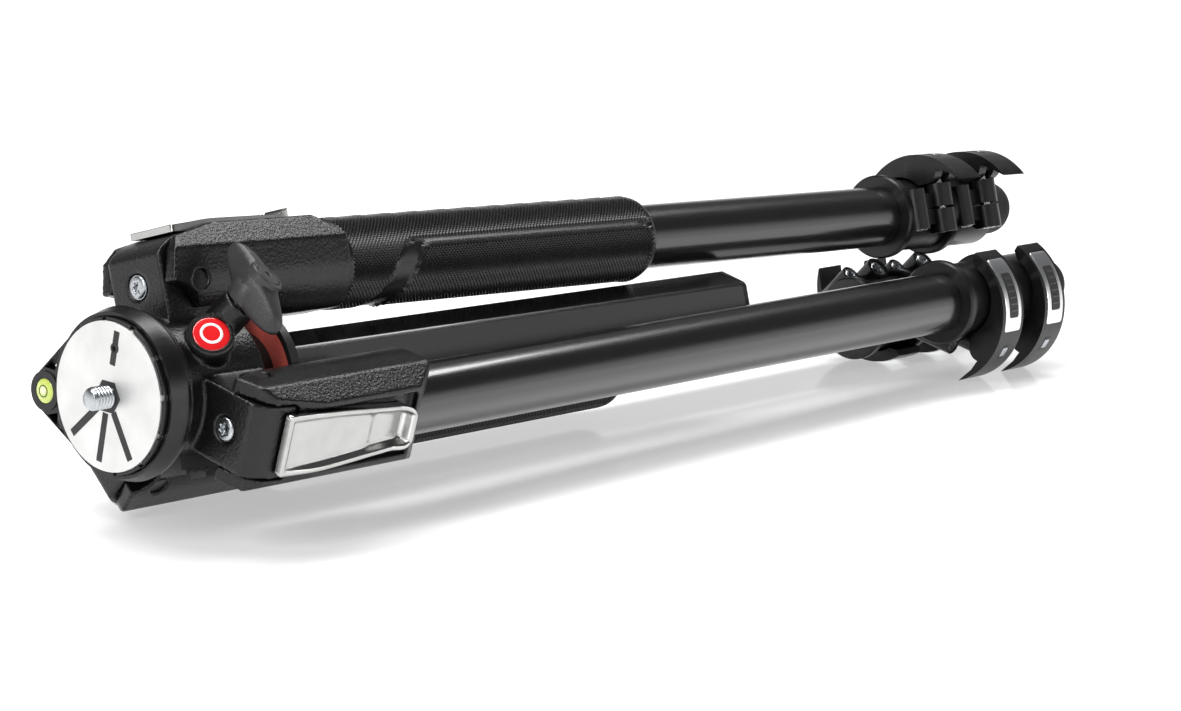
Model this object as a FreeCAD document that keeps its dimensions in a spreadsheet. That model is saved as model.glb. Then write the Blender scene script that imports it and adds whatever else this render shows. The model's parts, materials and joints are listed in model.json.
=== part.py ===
import FreeCAD, Part
import math
import os

import Sketcher
from FreeCAD import Placement, Rotation, Vector

# A three-section photographic tripod, folded and lying down.  Row frame, millimetres:
# the origin is the centre of the head plate's face, +X runs along the centre column
# towards the feet and +Z is up.  Each leg is drawn once in a leg frame, whose X is the
# tube's axis and whose Z points away from the column, and is then turned into place.

doc = FreeCAD.newDocument("Tripod")
sheet = doc.addObject("Spreadsheet::Sheet", "Sizes")

SIZES = (
    ("lean_angle", 18.3, "the first leg leans back from straight up by this angle, degrees"),
    ("converge_angle", 1.5, "folded legs close on the column towards the feet, degrees"),
    ("leg_station", 60, "where along the column the leg's radius is measured"),
    ("leg_gap", 1.6, "gap between the column's corner and the end of a folded grip"),
    ("pin_x", 40, "hinge pin along the column"),
    ("pin_inset", 3.1, "hinge pin inside the leg axis, towards the column"),
    ("pin_rad", 4, "hinge pin radius"),
    ("running_gap", 0.05, "radial clearance of a turning or sliding fit"),
    ("free_gap", 0.4, "clearance between pieces that pass each other"),
    ("plate_rad", 30, "head plate radius"),
    ("plate_thick", 2.5, "head plate thickness"),
    ("stud_rad", 4.76, "head stud radius, three-eighths inch"),
    ("stud_reach", 10, "how far the stud stands out of the plate"),
    ("seat_rad", 31.4, "black seat under the plate"),
    ("seat_thick", 3.7, "thickness of that seat"),
    ("ring_rad", 35, "level ring, largest radius"),
    ("ring_end", 12.5, "far side of the level ring"),
    ("neck_rad", 26, "crown neck that the level ring turns on"),
    ("vial_reach", 40.9, "level vial from the column axis"),
    ("vial_rad", 5.2, "level vial radius"),
    ("hub_start", 14.5, "near face of the crown hub"),
    ("hub_end", 59, "far face of the crown hub"),
    ("hub_rad", 29, "crown hub radius"),
    ("shoulder_half", 15.4, "half width of a crown shoulder"),
    ("shoulder_face", 25, "flat near face of a shoulder"),
    ("shoulder_rad", 19.6, "shoulder radius about the hinge pin"),
    ("column_flats", 27.5, "centre column across its flats"),
    ("column_wall", 1.8, "wall of the column"),
    ("column_end", 384, "far end of the column tube"),
    ("column_corner", 3.5, "rounding of the column's corners"),
    ("sleeve_wall", 3.1, "plastic sleeve's wall outside the column's corners"),
    ("flange_rad", 30, "stop flange radius"),
    ("flange_x", 73, "near face of the stop flange"),
    ("upper_rad", 14.7, "upper tube radius"),
    ("tube_wall", 1.2, "wall of the leg tubes"),
    ("tube_step", 0.8, "radial gap between one tube's bore and the next tube"),
    ("tube_start", 68, "where the upper tube starts inside the yoke"),
    ("yoke_end", 125, "far end of the yoke"),
    ("yoke_wall", 7.3, "yoke's side outside the upper tube"),
    ("yoke_roof", 4.8, "yoke's outer face outside the upper tube"),
    ("grip_wall", 4.5, "thickness of the rubber grip"),
    ("grip_end", 326, "far end of the grip"),
    ("lock_start", 514, "near end of the upper lock"),
    ("lock_pitch", 37.5, "upper lock to lower lock"),
    ("collar_len", 37, "length of a lock collar"),
    ("collar_wall", 2.8, "lock collar's body outside the upper tube"),
    ("lever_width", 18, "width of a lock lever"),
    ("bolt_reach", 4.3, "lock bolts' axis outside the upper tube"),
    ("lug_half", 12, "half height of the clamp lugs"),
    ("foot_len", 26, "length of the foot"),
    ("foot_wall", 2.9, "foot's rubber outside the lower tube"),
)


def fill_sheet():
    """Write every driving size into the sheet, one row each."""
    for row, (alias, number, note) in enumerate(SIZES, start=1):
        sheet.set("A%d" % row, alias)
        sheet.set("B%d" % row, str(number))
        sheet.set("C%d" % row, note)
        sheet.setAlias("B%d" % row, alias)
    doc.recompute()


class Size:
    """A length that carries its number and the sheet formula that gives it."""

    def __init__(self, number, formula):
        self.number = number
        self.formula = formula

    def join(self, other, sign, number):
        text = other.formula if isinstance(other, Size) else repr(float(other))
        return Size(number, "(%s %s %s)" % (self.formula, sign, text))

    def __add__(self, other):
        return self.join(other, "+", self.number + plain(other))

    def __sub__(self, other):
        return self.join(other, "-", self.number - plain(other))

    def __mul__(self, other):
        return self.join(other, "*", self.number * plain(other))

    def __truediv__(self, other):
        return self.join(other, "/", self.number / plain(other))

    def __neg__(self):
        return self * -1

    __radd__ = __add__
    __rmul__ = __mul__

    def __rsub__(self, other):
        return -self + other


def plain(value):
    """The bare number of a size or of a number."""
    return value.number if isinstance(value, Size) else float(value)


def size(alias):
    """The named size, read back from the sheet."""
    return Size(float(sheet.get(alias)), "Sizes." + alias)


def bind(thing, prop, value):
    """Give a property its value, tied to the sheet when the value is a size."""
    if isinstance(value, Size):
        thing.setExpression(prop, value.formula)
    else:
        setattr(thing, prop, value)


# ---------------------------------------------------------------- drawing helpers

NODES = []
TURN_X = Rotation(Vector(0, 1, 0), 90)
TURN_Y = Rotation(Vector(1, 0, 0), -90)
UPRIGHT = Rotation()


def node(thing, name, place=None):
    """Name a finished sub-part and put it in its place."""
    thing.Label = name
    if place is not None:
        moved(thing, place)
    NODES.append(thing)
    return thing


def set_base(thing, base, turn):
    """Put a primitive at a corner or centre given in sizes."""
    thing.Placement = Placement(Vector(*[plain(c) for c in base]), turn)
    for letter, value in zip("xyz", base):
        if isinstance(value, Size):
            thing.setExpression("Placement.Base." + letter, value.formula)


def rod(radius, length, base, turn=TURN_X):
    """A cylinder; its axis is X unless it is turned another way."""
    thing = doc.addObject("Part::Cylinder", "Rod")
    bind(thing, "Radius", radius)
    bind(thing, "Height", length)
    set_base(thing, base, turn)
    return thing


def block(length, width, height, base):
    """A box with its lowest corner at base."""
    thing = doc.addObject("Part::Box", "Block")
    bind(thing, "Length", length)
    bind(thing, "Width", width)
    bind(thing, "Height", height)
    set_base(thing, base, UPRIGHT)
    return thing


def cut(base, *tools):
    """Take each tool away in turn."""
    for tool in tools:
        thing = doc.addObject("Part::Cut", "Cut")
        thing.Base = base
        thing.Tool = tool
        base = thing
    return base


def fuse(*shapes):
    """Join touching or overlapping shapes into one solid."""
    thing = doc.addObject("Part::MultiFuse", "Fuse")
    thing.Shapes = list(shapes)
    thing.Refine = True
    return thing


def common(one, two):
    """Keep what both shapes hold."""
    thing = doc.addObject("Part::Common", "Common")
    thing.Base = one
    thing.Tool = two
    return thing


def group(*shapes):
    """Separate solids that are the same piece, kept as one sub-part."""
    thing = doc.addObject("Part::Compound", "Group")
    thing.Links = list(shapes)
    return thing


def moved(thing, place):
    """Turn a helper shape into place and give it back."""
    for letter in "xyz":
        thing.setExpression("Placement.Base." + letter, None)
    thing.Placement = place
    return thing


def add_edge(sketch, start, end, radius):
    """One side of an outline: a line, or an arc whose sign gives its turn."""
    if not radius:
        index = sketch.addGeometry(Part.LineSegment(start, end), False)
        return index, 1, 2
    reach = abs(plain(radius))
    chord = end - start
    turn = 1 if plain(radius) > 0 else -1
    normal = Vector(-chord.y, chord.x, 0).normalize() * turn
    rise = math.sqrt(max(reach ** 2 - (chord.Length / 2) ** 2, 0))
    centre = (start + end) * 0.5 + normal * rise
    first, last = (start, end) if turn > 0 else (end, start)
    low = math.atan2(first.y - centre.y, first.x - centre.x)
    high = math.atan2(last.y - centre.y, last.x - centre.x)
    circle = Part.Circle(centre, Vector(0, 0, 1), reach)
    index = sketch.addGeometry(Part.ArcOfCircle(circle, low, high), False)
    return (index, 1, 2) if turn > 0 else (index, 2, 1)


def pin_corner(sketch, kind, index, spot, value):
    """Fix one coordinate of a corner to a size or a number."""
    fixed = sketch.addConstraint(Sketcher.Constraint(kind, -1, 1, index, spot, plain(value)))
    if isinstance(value, Size):
        sketch.setExpression("Constraints[%d]" % fixed, value.formula)


def draw(sketch, corners):
    """A closed outline; a corner's third value is the radius of the arc that follows it."""
    spots = [Vector(plain(c[0]), plain(c[1]), 0) for c in corners]
    edges = []
    for i, corner in enumerate(corners):
        radius = corner[2] if len(corner) > 2 else None
        edges.append(add_edge(sketch, spots[i], spots[(i + 1) % len(spots)], radius))
    for i, (index, first, last) in enumerate(edges):
        follower = edges[(i + 1) % len(edges)]
        sketch.addConstraint(Sketcher.Constraint("Coincident", index, last, follower[0], follower[1]))
    for (index, first, last), corner in zip(edges, corners):
        pin_corner(sketch, "DistanceX", index, first, corner[0])
        pin_corner(sketch, "DistanceY", index, first, corner[1])
        if len(corner) > 2 and corner[2]:
            reach = abs(plain(corner[2]))
            fixed = sketch.addConstraint(Sketcher.Constraint("Radius", index, reach))
            if isinstance(corner[2], Size):
                sketch.setExpression("Constraints[%d]" % fixed, "abs(%s)" % corner[2].formula)


def outline(body, role, corners):
    """A sketch on one of the body's own origin planes."""
    sketch = body.newObject("Sketcher::SketchObject", "Outline")
    plane = [p for p in body.Origin.OriginFeatures if p.Role == role][0]
    sketch.AttachmentSupport = [(plane, "")]
    sketch.MapMode = "FlatFace"
    draw(sketch, corners)
    return sketch


def turned(corners):
    """A turned piece: the outline (along X, radius) goes round the X axis."""
    body = doc.addObject("PartDesign::Body", "Turned")
    sketch = outline(body, "XY_Plane", corners)
    feature = body.newObject("PartDesign::Revolution", "Turn")
    feature.Profile = sketch
    feature.ReferenceAxis = (sketch, ["H_Axis"])
    feature.Angle = 360
    return body


def padded(role, corners, width):
    """A piece of even thickness, half of it on each side of its origin plane."""
    body = doc.addObject("PartDesign::Body", "Padded")
    sketch = outline(body, role, corners)
    feature = body.newObject("PartDesign::Pad", "Pad")
    feature.Profile = sketch
    feature.SideType = "Symmetric"
    bind(feature, "Length", width)
    return body


def at(x=0, y=0, z=0):
    """A plain shift."""
    return Placement(Vector(plain(x), plain(y), plain(z)), UPRIGHT)


def about_x(angle):
    """A turn about the column's axis, in degrees."""
    return Placement(Vector(), Rotation(Vector(1, 0, 0), angle))


def about_y(angle):
    """A turn about Y, in degrees."""
    return Placement(Vector(), Rotation(Vector(0, 1, 0), angle))


fill_sheet()

LEGS = ("top", "front", "back")
GAP = size("running_gap")
FREE = size("free_gap")
CORNER = 1 / math.cos(math.radians(30))

# Sizes that follow from the sheet's own, each with its named wall or clearance.
UPPER = size("upper_rad")
MIDDLE = UPPER - size("tube_wall") - size("tube_step")
LOWER = MIDDLE - size("tube_wall") - size("tube_step")
GRIP = UPPER + size("grip_wall")
COLLAR = UPPER + size("collar_wall")
YOKE_HALF = UPPER + size("yoke_wall")
YOKE_TOP = UPPER + size("yoke_roof")
BOLT_SIDE = UPPER + size("bolt_reach")
FOOT = LOWER + size("foot_wall")
COLUMN_HALF = size("column_flats") / 2
COLUMN_REACH = COLUMN_HALF * CORNER - size("column_corner") * 0.15
SLEEVE = COLUMN_HALF * CORNER + size("sleeve_wall")
HEAD_BACK = size("plate_thick") + size("seat_thick")
SECOND_LOCK = size("lock_start") + size("lock_pitch")
CLOSING = math.tan(math.radians(plain(size("converge_angle"))))
LEG_RADIUS = COLUMN_REACH + GRIP + (size("grip_end") - size("leg_station")) * CLOSING + size("leg_gap")
PIN_R = LEG_RADIUS - size("pin_inset")


def spoke(number):
    """The plane of a leg; halves such as 0.5 lie between two legs."""
    return about_x(120 * number - plain(size("lean_angle")))


def leg_place(number):
    """From a leg's own frame to the row frame, folded."""
    station = size("leg_station")
    lift = at(station, 0, LEG_RADIUS)
    return spoke(number) * lift * about_y(plain(size("converge_angle"))) * at(-station)


def pin_spot():
    """The hinge pin's X and Z in the leg frame, where the tube's axis is Z = 0."""
    turn = math.radians(plain(size("converge_angle")))
    along = size("pin_x") - size("leg_station")
    out = -size("pin_inset")
    x = size("leg_station") + along * math.cos(turn) - out * math.sin(turn)
    return x, along * math.sin(turn) + out * math.cos(turn)


# ---------------------------------------------------------------- head and column

STAR_RAD = 1.6
ROOT_RAD = size("stud_rad") - 0.6
SLOT_TURN = 7.5
SLOT_FAN = 39.5
SCREW_R = 20.0


def stud():
    """The camera-head stud: a chamfered tip outside, a thinner root through the plate."""
    reach = -size("stud_reach")
    rad = size("stud_rad")
    tip = 1.0
    return turned([(reach, 0), (HEAD_BACK, 0), (HEAD_BACK, ROOT_RAD), (0, ROOT_RAD), (0, rad),
                   (reach + tip, rad), (reach, rad - tip)])


def plate_slot(turn, near, far):
    """One shallow radial slot in the plate's face."""
    wide = 3.2
    slot = block(1.2, wide, far - near, (-0.2, -wide / 2, near))
    return moved(slot, about_x(turn) * slot.Placement)


def head_plate():
    """Bright round plate with a bore for the stud, a screw slot above and a fan of three below."""
    disc = rod(size("plate_rad"), size("plate_thick"), (0, 0, 0))
    bore = rod(ROOT_RAD, size("plate_thick") + 2, (-1, 0, 0))
    mouth = rod(size("stud_rad") + FREE, 1.5, (-1, 0, 0))
    far = size("plate_rad") - 3
    slots = [plate_slot(SLOT_TURN, SCREW_R - 7, far)]
    for step in (-1, 0, 1):
        slots.append(plate_slot(SLOT_TURN + 180 + step * SLOT_FAN, size("stud_rad") + 2, far))
    hole = rod(STAR_RAD, size("plate_thick") + 2, (-1, 0, SCREW_R))
    return cut(disc, bore, mouth, *(slots + [moved(hole, about_x(SLOT_TURN) * hole.Placement)]))


def set_screw():
    """Grub screw that locks a camera head on the plate."""
    screw = rod(STAR_RAD, size("plate_thick") - 1.0, (1.0, 0, SCREW_R))
    return moved(screw, about_x(SLOT_TURN) * screw.Placement)


def plate_seat():
    """Black seat under the plate, with small teeth round its rim and a spigot in the column."""
    face = size("plate_thick")
    back = HEAD_BACK
    rad = size("seat_rad")
    inner = ROOT_RAD
    spigot = 10
    body = turned([(face, inner), (face, rad), (back, rad), (back, spigot), (back + 9, spigot),
                   (back + 9, inner)])
    rim = rod(rad, face - 0.9, (0.9, 0, 0))
    hollow = rod(size("plate_rad") + 0.15, face + 1, (0, 0, 0))
    teeth = cut(rim, hollow)
    notches = []
    for step in range(12):
        notch = block(4, 2.2, 4, (0, -1.1, size("seat_rad") - 2.2))
        notches.append(moved(notch, about_x(30 * step + 9) * notch.Placement))
    return fuse(body, cut(teeth, *notches))


def hexagon(half_flats):
    """Six corners, the first on the second axis, so that a corner points at each leg."""
    reach = half_flats * CORNER
    turns = [math.radians(90 + 60 * step) for step in range(6)]
    return [(reach * math.cos(a), reach * math.sin(a)) for a in turns]


def hex_bar(half_flats, length, start):
    """A six-sided bar along X."""
    body = doc.addObject("PartDesign::Body", "Hexagon")
    sketch = outline(body, "YZ_Plane", hexagon(half_flats))
    feature = body.newObject("PartDesign::Pad", "Pad")
    feature.Profile = sketch
    bind(feature, "Length", length)
    body.Placement = at(start)
    return body


def rounded_hex(half_flats, start, end):
    """A six-sided bar with its corners turned down to one radius."""
    reach = half_flats * CORNER - size("column_corner") * 0.15
    return common(hex_bar(half_flats, end - start, start), rod(reach, end - start, (start, 0, 0)))


def column_tube():
    """Hollow six-sided centre column."""
    half = COLUMN_HALF
    start = HEAD_BACK
    end = size("column_end")
    inner = half - size("column_wall")
    return cut(rounded_hex(half, start, end), rounded_hex(inner, start - 1, end + 1))


def column_plug():
    """Plug in the column's far end, with a bore for the release button."""
    half = COLUMN_HALF
    end = size("column_end")
    lip = rounded_hex(half, end, end + 3)
    body = rounded_hex(half - size("column_wall"), end - 20, end)
    bore = rod(BUTTON_RAD + GAP, 30, (end - 8, 0, 0))
    return cut(fuse(lip, body), bore)


BUTTON_RAD = 9.5
BUTTON_TRAVEL = 2.0


def column_button():
    """Red release button in the plug, with room behind it for its travel."""
    end = size("column_end")
    back = end - 8 + BUTTON_TRAVEL + 0.5
    front = end + 5
    edge = 1.2
    return turned([(back, 0), (front, 0), (front, BUTTON_RAD - edge), (front - edge, BUTTON_RAD),
                   (back, BUTTON_RAD)])


# ---------------------------------------------------------------- level ring

def level_ring():
    """Turning ring with a wing that holds the bull's-eye level."""
    near = 3.0
    recess = HEAD_BACK + FREE
    end = size("ring_end")
    rad = size("ring_rad")
    bore = size("neck_rad") + GAP
    ring = turned([(near, size("seat_rad") + FREE), (near, rad - 1.8), (near + 7, rad),
                   (end, rad - 0.5), (end, bore), (recess, bore),
                   (recess, size("seat_rad") + FREE)])
    reach = size("vial_reach")
    holder = rod(size("vial_rad") + 2.9, 6.5, (near, 0, reach))
    wing = padded("YZ_Plane", [(-24.5, 22), (-6, reach + 5.6), (6, reach + 5.6), (24.5, 22)], 5.5)
    wing.Placement = at(near + 3.4)
    clear = rod(rad - 1.9, 20, (0, 0, 0))
    pocket = rod(size("vial_rad"), 5.5, (near - 1, 0, reach))
    windows = []
    for side in (-1, 1):
        corners = [(side * 8.5, 34.4), (side * 9.6, 40.6), (side * 17.5, 30.9)]
        window = padded("YZ_Plane", corners, 12)
        window.Placement = at(near + 3.4)
        windows.append(window)
    arms = cut(fuse(wing, holder), clear)
    return cut(fuse(ring, arms), pocket, *windows)


def level_vial():
    """Bull's-eye vial: a clear cell with a domed window."""
    near = 3.0
    reach = size("vial_rad")
    cell = turned([(near - 0.4, 0), (near + 4.5, 0), (near + 4.5, reach), (near + 0.4, reach),
                   (near - 0.4, reach - 1.5)])
    return cell


def level_place():
    """The wing hangs out on the far side, between two legs."""
    return about_x(262)


# ---------------------------------------------------------------- crown

KNOB_SPOKE = 35.0
KNOB_TILT = 20.0
KNOB_R = 46.0
WING_TURN = -14.0
CAP_SPOKE = 44.0
CAP_TILT = -25.0
SOCKET_SPOKE = 281.7
CLIP_SPOKE = 161.7
EAR_RAD = 15.0
KNOB_STUD_RAD = 4.0


def tilted(angle, x, r, tilt):
    """A frame whose Z points outwards at a spoke angle, leaning towards +X by the tilt."""
    return about_x(angle) * at(x, 0, r) * about_y(tilt)


def knob_frame():
    return tilted(KNOB_SPOKE, 44, KNOB_R, KNOB_TILT)


def cap_frame():
    return tilted(CAP_SPOKE, 29.5, 37, CAP_TILT)


def socket_frame():
    return tilted(SOCKET_SPOKE, 36, 34, 0)


def boss(radius, depth, frame):
    """A round boss whose top sits at the frame's origin."""
    thing = rod(radius, depth, (0, 0, -depth), UPRIGHT)
    return moved(thing, frame * thing.Placement)


def shoulder(number):
    """One of the three blocks that carry the leg hinges."""
    half = size("shoulder_half")
    face = size("shoulder_face")
    pin_x = size("pin_x")
    pin_r = PIN_R
    reach = size("shoulder_rad")
    round_part = rod(reach, half * 2, (pin_x, -half, pin_r), TURN_Y)
    trim = block(reach * 2, half * 2, reach * 2 + 2, (face, -half, pin_r - reach - 1))
    head = common(round_part, trim)
    web = block(reach - 2.6 + pin_x - face, half * 2, 22, (face, -half, pin_r - 24))
    whole = fuse(head, web)
    recess = rod(5.4, 3, (face - 1, 0, pin_r + 1))
    shank = rod(2.5, 15, (face, 0, pin_r + 1))
    bore = rod(size("pin_rad"), half * 2 + 2, (pin_x, -half - 1, pin_r), TURN_Y)
    return moved(cut(whole, recess, shank, bore), spoke(number))


def ear_room():
    """Space beside each shoulder where a yoke's ears swing past the bosses."""
    inner = size("shoulder_half")
    wide = YOKE_HALF + FREE - inner
    rooms = []
    for k in range(3):
        for near in (inner, -inner - wide):
            room = rod(EAR_RAD + FREE, wide, (size("pin_x"), near, PIN_R), TURN_Y)
            rooms.append(moved(room, spoke(k) * room.Placement))
    return rooms


def crown_casting():
    """The spider: hub, neck, three shoulders and the bosses between them."""
    near = HEAD_BACK + FREE
    start = size("hub_start")
    end = size("hub_end")
    rad = size("hub_rad")
    neck = size("neck_rad")
    hub = turned([(near, 0), (near, neck), (start - 1.6, neck), (start - 1.6, rad + 3),
                  (start + 1, rad + 4), (start + 3.5, rad), (end, rad), (end, 0)])
    shoulders = [shoulder(k) for k in range(3)]
    bosses = [boss(9.3, 20, cap_frame()), boss(7.5, 26, knob_frame()), boss(9.5, 16, socket_frame())]
    whole = fuse(hub, *(shoulders + bosses))
    bore = rod(SLEEVE, 80, (0, 0, 0))
    stud_hole = boss(KNOB_STUD_RAD + 0.05, 40, knob_frame() * at(0, 0, 1))
    cap_seat = boss(7.6, 3, cap_frame() * at(0, 0, 1))
    socket = boss(size("stud_rad"), 12, socket_frame() * at(0, 0, 1))
    return cut(whole, bore, stud_hole, cap_seat, socket, *ear_room())


def column_sleeve():
    """Plastic sleeve pressed in the crown, six-sided inside so the column can't turn."""
    near = HEAD_BACK + FREE
    end = size("flange_x")
    half = COLUMN_HALF + GAP
    tube = rod(SLEEVE, end - near, (near, 0, 0))
    bar = hex_bar(half, end + 10, 0)
    bar.Placement = spoke(0)
    stud_hole = boss(KNOB_STUD_RAD + 0.05, 50, knob_frame())
    return cut(tube, bar, stud_hole)


def scallop(start, length):
    """Room for a yoke's round underside, cut in the flange."""
    reach = YOKE_HALF + FREE
    tools = []
    for k in range(3):
        tool = rod(reach, length, (start, 0, 0))
        tools.append(moved(tool, leg_place(k) * tool.Placement))
    return tools


def stop_flange():
    """Red-faced flange below the crown, hollowed where the folded yokes lie."""
    x = size("flange_x")
    half = COLUMN_HALF + FREE
    disc = rod(size("flange_rad"), 4.5, (x, 0, 0))
    bar = hex_bar(half, 20, x - 5)
    bar.Placement = spoke(0) * at(x - 5)
    return cut(disc, bar, *scallop(x - 8, 24))


def shoulder_bolts():
    """Three bolts in the shoulders' faces, one bearing on each hinge pin."""
    face = size("shoulder_face")
    r = PIN_R + 1
    bolts = []
    for k in range(3):
        head = rod(4.9, 1.6, (face + 0.4, 0, r))
        shank = rod(2.5, size("pin_x") - size("pin_rad") - face - 2.2, (face + 2.0, 0, r))
        drive = rod(STAR_RAD, 1.2, (face - 0.2, 0, r))
        bolt = cut(fuse(head, shank), drive)
        bolts.append(moved(bolt, spoke(k)))
    return group(*bolts)


def hinge_pins():
    """The three pins that the legs turn on."""
    half = YOKE_HALF - 1.5
    pins = []
    for k in range(3):
        pin = rod(size("pin_rad"), half * 2, (size("pin_x"), -half, PIN_R), TURN_Y)
        pins.append(moved(pin, spoke(k) * pin.Placement))
    return group(*pins)


def socket_cap():
    """Round red cap in the bezel between two legs."""
    cap = rod(7.5, 2.4, (0, 0, -1.9), UPRIGHT)
    return moved(cap, cap_frame() * cap.Placement)


def accessory_clip():
    """Ribbed pad with a tab, on the crown's underside."""
    base = block(28, 17, 6, (24, -8.5, 27.5))
    ribs = [block(2, 15, 1.6, (27 + 4 * step, -7.5, 33.5)) for step in range(4)]
    tab = block(14, 9, 4, (40, -4.5, 33.5))
    round_hub = rod(size("hub_rad"), 60, (10, 0, 0))
    return cut(fuse(base, tab, *ribs), round_hub)


def lock_knob():
    """Wing knob: a hub with two swept wings."""
    hub = rod(8.2, 15, (0, 0, 0.6), UPRIGHT)
    wing = padded("YZ_Plane", [(-21, 7, 14), (-8, 14.4), (8, 16.2, 14), (21, 13.4), (19.5, 9.5, -22),
                               (8, 2.6), (-8, 1.4, -22), (-19.5, 3.4)], 9)
    wing.Placement = Placement(Vector(), Rotation(Vector(0, 0, 1), WING_TURN))
    bore = rod(KNOB_STUD_RAD, 12, (0, 0, -0.5), UPRIGHT)
    return cut(fuse(hub, wing), bore)


def knob_stud():
    """Steel stud from the knob, through the crown, to just off the column."""
    off_column = 4.1
    depth = (KNOB_R - COLUMN_REACH) / math.cos(math.radians(KNOB_TILT)) - off_column
    stud = rod(KNOB_STUD_RAD, depth + 11.5, (0, 0, -depth), UPRIGHT)
    return moved(stud, knob_frame() * stud.Placement)


# ---------------------------------------------------------------- leg

def yoke_side():
    """The yoke seen from the side: ears round the hinge pin, roof, and tube socket."""
    px, pz = pin_spot()
    end = size("yoke_end")
    top = YOKE_TOP
    ear = EAR_RAD
    low = -(YOKE_HALF - 1.0)
    return [(px - ear, pz, -ear), (px, pz - ear), (px + 18, low), (end, low + 2), (end, top - 8.5),
            (end - 13, top), (px + 16, top), (px - 7.5, top - 4.6), (px - 12, top - 10.5)]


def yoke_section():
    """The yoke seen along the tube: flat outer face, chamfers, flat sides, round inside."""
    half = YOKE_HALF
    top = YOKE_TOP
    flat = half - 6
    return [(half, 0), (half, top - 10), (flat, top), (-flat, top), (-half, top - 10), (-half, 0, half),
            (0, -half, half)]


def yoke(name, place):
    """Leg casting: two ears straddle the crown's shoulder, then it closes round the tube."""
    half = YOKE_HALF
    end = size("yoke_end")
    side = padded("XZ_Plane", yoke_side(), half * 2 + 4)
    section = padded("YZ_Plane", yoke_section(), end * 2 + 20)
    whole = common(side, section)
    px, pz = pin_spot()
    slot = size("shoulder_half") + 0.5
    swing = size("shoulder_rad") + 0.7
    around = rod(swing, slot * 2, (px, -slot, pz), TURN_Y)
    under = block(swing + 30, slot * 2, 60, (px - 30, -slot, pz - 60))
    front = block(60, slot * 2, swing + 6, (px - 70, -slot, pz - swing))
    bore = rod(UPPER, end, (size("tube_start"), 0, 0))
    pin_bore = rod(size("pin_rad") + GAP, half * 2 + 10, (px, -half - 5, pz), TURN_Y)
    mouth = px - 8
    tray = block(TRAY_END + 3.2 - mouth, TRAY_HALF * 2 + 0.8, 20, (mouth, -TRAY_HALF - 0.4, TRAY_FLOOR))
    reach = TRAY_HALF + 2.6
    trunnion = rod(TRUNNION + GAP, reach * 2, (TRAY_PIVOT_X, -reach, TRAY_PIVOT_Z), TURN_Y)
    return node(cut(whole, around, under, front, bore, pin_bore, tray, trunnion), name + "_yoke", place)


TRAY_END = 108.0
TRAY_HALF = 13.0
TRAY_FLOOR = UPPER + 1.7
TRAY_PIVOT_X = 38.0
TRAY_PIVOT_Z = UPPER + 3.5
TRUNNION = 1.0


def angle_lever(name, place):
    """Dished lever in the yoke's outer face that sets the leg's angle, on two trunnions."""
    start = 36.4
    low = TRAY_FLOOR + 0.4
    side = padded("XZ_Plane", [(start, low + 0.4), (TRAY_END, low), (TRAY_END, low + 7.4),
                               (TRAY_END - 3.5, low + 7.8), (TRAY_END - 6, low + 4.6), (60, low + 4.2),
                               (start, low + 2.8)], TRAY_HALF * 2)
    taper = padded("XY_Plane", [(start - 1, -TRAY_HALF), (60, -TRAY_HALF), (TRAY_END - 5, -10),
                                (TRAY_END + 0.5, -5), (TRAY_END + 0.5, 5), (TRAY_END - 5, 10),
                                (60, TRAY_HALF), (start - 1, TRAY_HALF)], 80)
    plate = common(side, taper)
    dish = block(40, 17, 8, (58, -8.5, low + 2.4))
    deep = block(8, 15, 8, (92, -7.5, low + 1.4))
    reach = TRAY_HALF + 2.2
    pins = rod(TRUNNION, reach * 2, (TRAY_PIVOT_X, -reach, TRAY_PIVOT_Z), TURN_Y)
    return node(fuse(cut(plate, dish, deep), pins), name + "_angle_lever", place)


def pipe(outer, wall, start, end):
    """A plain tube along X."""
    inner = outer - wall
    return turned([(start, inner), (end, inner), (end, outer), (start, outer)])


def grip(name, place):
    """Moulded rubber grip with rounded ends."""
    start = size("yoke_end") + 1.5
    end = size("grip_end")
    bore = UPPER
    rad = GRIP
    edge = 3.0
    body = turned([(start, bore), (start, rad), (end - edge, rad, -edge), (end, rad - edge), (end, bore)])
    return node(body, name + "_grip", place)


def collar(name, label, start, outer_tube, inner_tube, place):
    """Lock collar: a socket on one tube and a split clamp on the next, with two pairs of lugs."""
    end = start + size("collar_len")
    rad = COLLAR
    seat = start + 12
    lip = 3
    body = turned([(start, outer_tube), (start, rad + lip - 0.8), (start + 0.8, rad + lip),
                   (start + 4, rad + lip), (start + 8, rad), (end, rad), (end, inner_tube + GAP),
                   (seat, inner_tube + GAP), (seat, outer_tube)])
    side = BOLT_SIDE
    lug = size("lug_half")
    friction = rod(5.0, lug * 2 - 4, (start + FRICTION_X, -side, -lug + 2), UPRIGHT)
    clamp = rod(6.3, lug * 2, (start + CLAMP_X, -side, -lug), UPRIGHT)
    web = block(30, side - 8, lug * 1.3, (start + 5, -side, -lug * 0.65))
    whole = fuse(body, friction, clamp, web)
    bores = [rod(outer_tube, 13, (start - 1, 0, 0)), rod(inner_tube + GAP, 50, (start + 11.5, 0, 0))]
    slit = block(40, side + 8, 1.2, (seat + 1.5, -side - 8, -0.6))
    holes = [rod(BOLT_RAD, 60, (start + x, -side, -30), UPRIGHT) for x in (FRICTION_X, CLAMP_X)]
    heads = []
    for x, depth, reach in ((FRICTION_X, lug - 4, 3.9), (CLAMP_X, lug - 2.5, 4.6)):
        heads.append(rod(reach, 20, (start + x, -side, -depth - 20), UPRIGHT))
    heads.append(rod(3.9, 20, (start + FRICTION_X, -side, lug - 4), UPRIGHT))
    return node(cut(whole, *(bores + [slit] + holes + heads)), name + label, place)


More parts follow.
